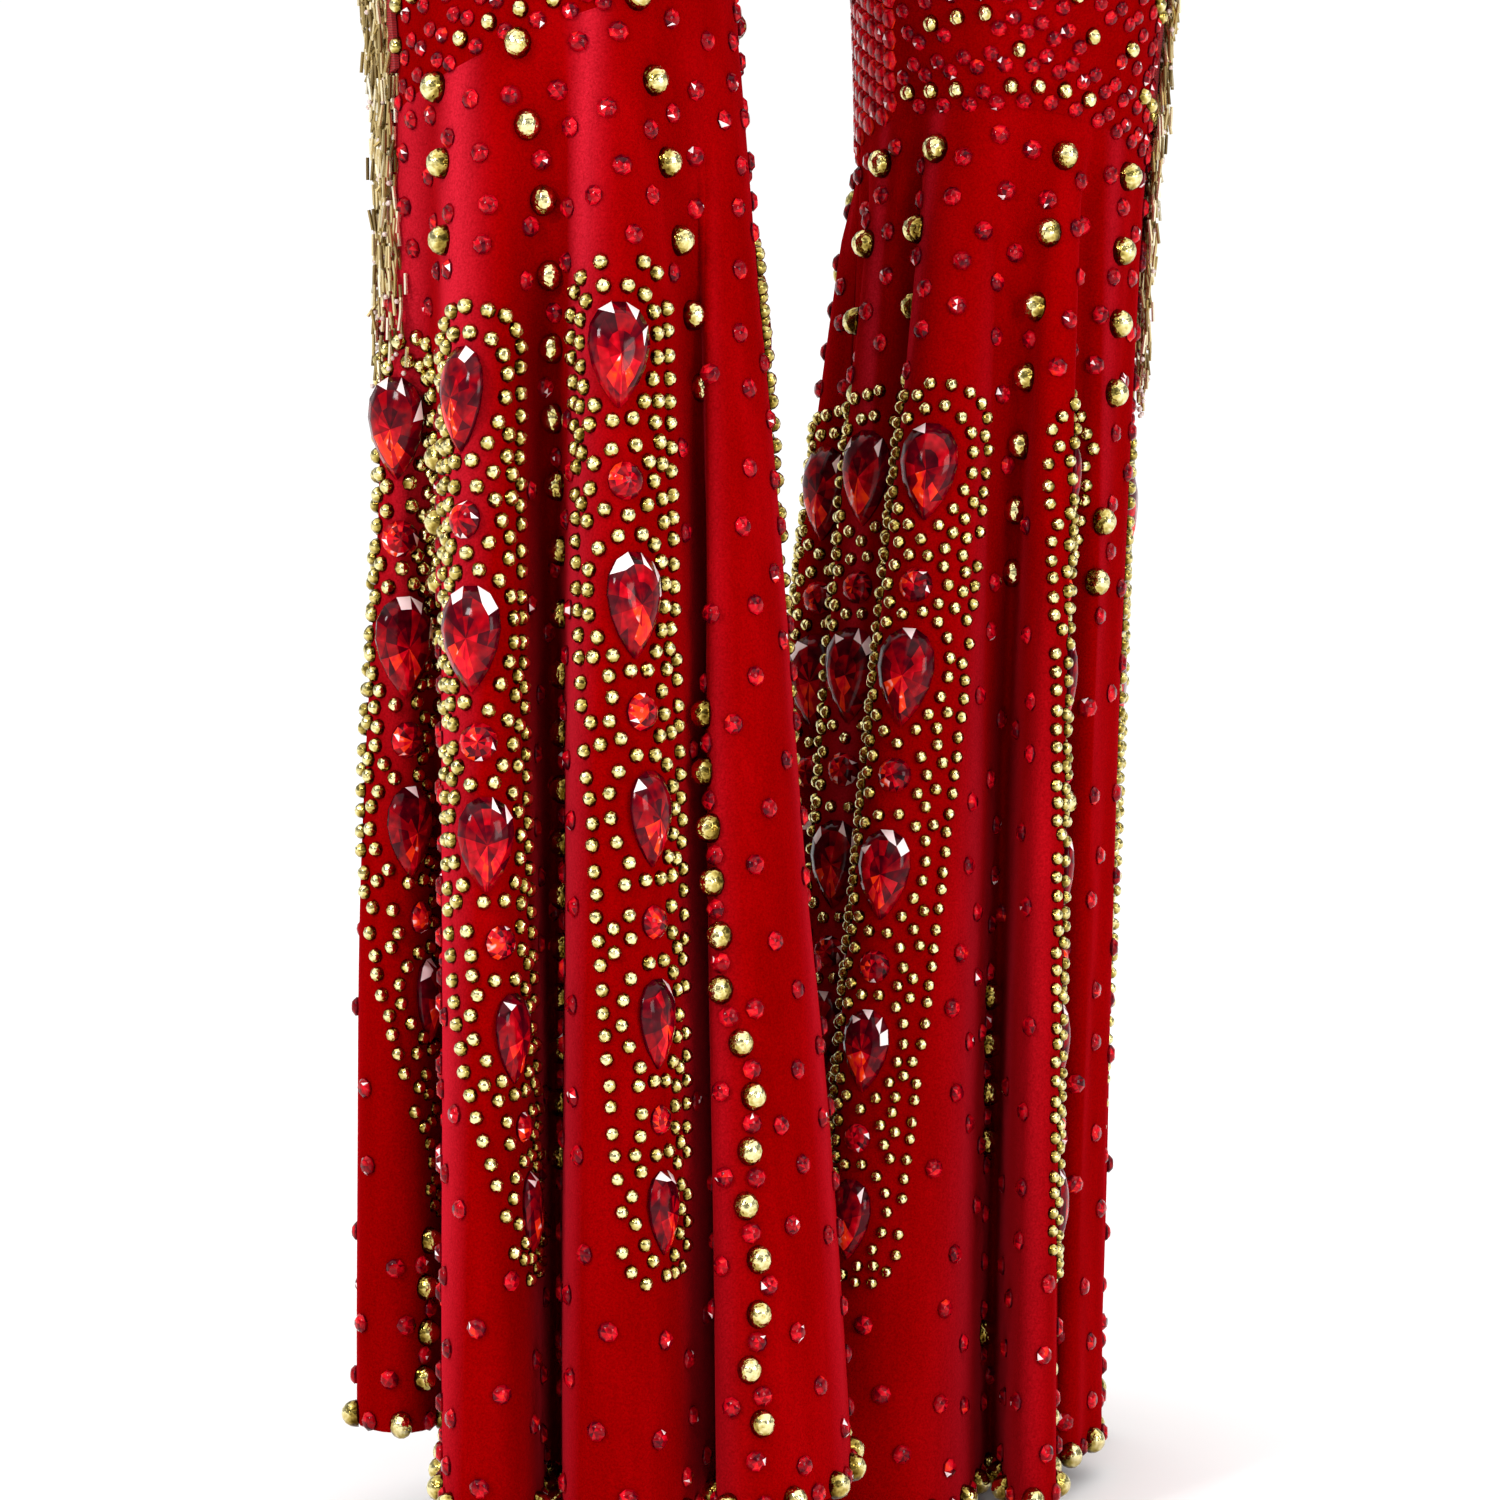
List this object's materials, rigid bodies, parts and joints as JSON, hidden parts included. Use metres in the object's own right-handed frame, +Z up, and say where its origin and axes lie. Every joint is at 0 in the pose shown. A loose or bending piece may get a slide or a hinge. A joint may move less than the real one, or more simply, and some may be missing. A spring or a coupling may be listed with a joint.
{
  "type": "performance romper",
  "caption": "Sleeveless one-piece stage garment in red velvet, with long legs that end in deep fluted flares, set with gold domes and red crystals, and beaded fringe at the knees.",
  "frame": {"origin": "midway between the middles of the two shoulder seams, where the wearer carries the garment", "axes": "+Z up along the body, -Y to the wearer's front, +X to the wearer's left"},
  "size_m": [0.3494, 0.3117, 1.4317],
  "materials": {
    "velvet": "red stretch velvet with a short pile",
    "binding": "self binding of the same velvet",
    "bugle_beads": "gold-lined bugle beads on thread",
    "studs": "plated half-ball studs, polished",
    "crystals": "red cut crystal, foil backed"
  },
  "bodies": {
    "root": {"front_r": "velvet", "front_l": "velvet", "back_r": "velvet", "back_l": "velvet", "flare_front_r": "velvet", "flare_back_r": "velvet", "flare_front_l": "velvet", "flare_back_l": "velvet", "neck_binding": "binding", "armhole_binding_r": "binding", "armhole_binding_l": "binding", "fringe_r": "bugle_beads", "fringe_l": "bugle_beads"}
  },
  "joints": []
}
